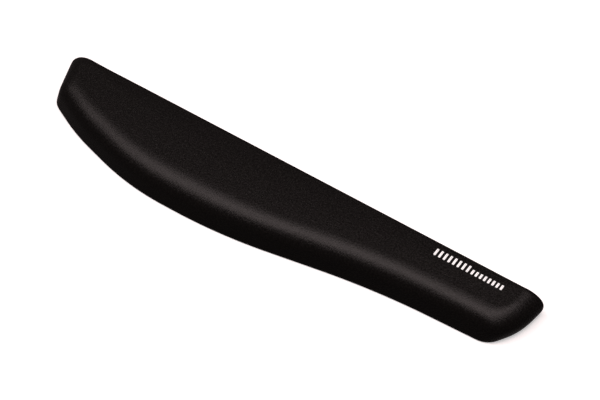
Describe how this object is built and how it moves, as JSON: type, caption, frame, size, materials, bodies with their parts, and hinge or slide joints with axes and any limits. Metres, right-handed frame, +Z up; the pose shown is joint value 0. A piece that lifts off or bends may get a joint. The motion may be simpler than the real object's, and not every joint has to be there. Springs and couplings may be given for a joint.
{
  "type": "keyboard wrist rest",
  "caption": "Long foam wrist rest in a smooth stretch-fabric cover, with a straight back edge, a swept front edge and a flat non-slip base.",
  "frame": {"origin": "on the floor, at the middle of the pad's footprint box", "axes": "+X along the pad to the user's right, -Y towards the user (the swept front edge), +Z up out of the padded top"},
  "size_m": [0.4626, 0.081, 0.0254],
  "materials": {
    "cover_fabric": "smooth black stretch knit with a soft sheen",
    "foam": "soft open-cell polyurethane foam",
    "adhesive": "thin hot-melt film",
    "backing_rubber": "matt non-slip rubber with a fine waffle grain",
    "print": "white screen print"
  },
  "bodies": {
    "root": {"fabric_cover": "cover_fabric", "foam_core": "foam", "base_adhesive": "adhesive", "backing_sheet": "backing_rubber", "printed_mark": "print"}
  },
  "joints": []
}
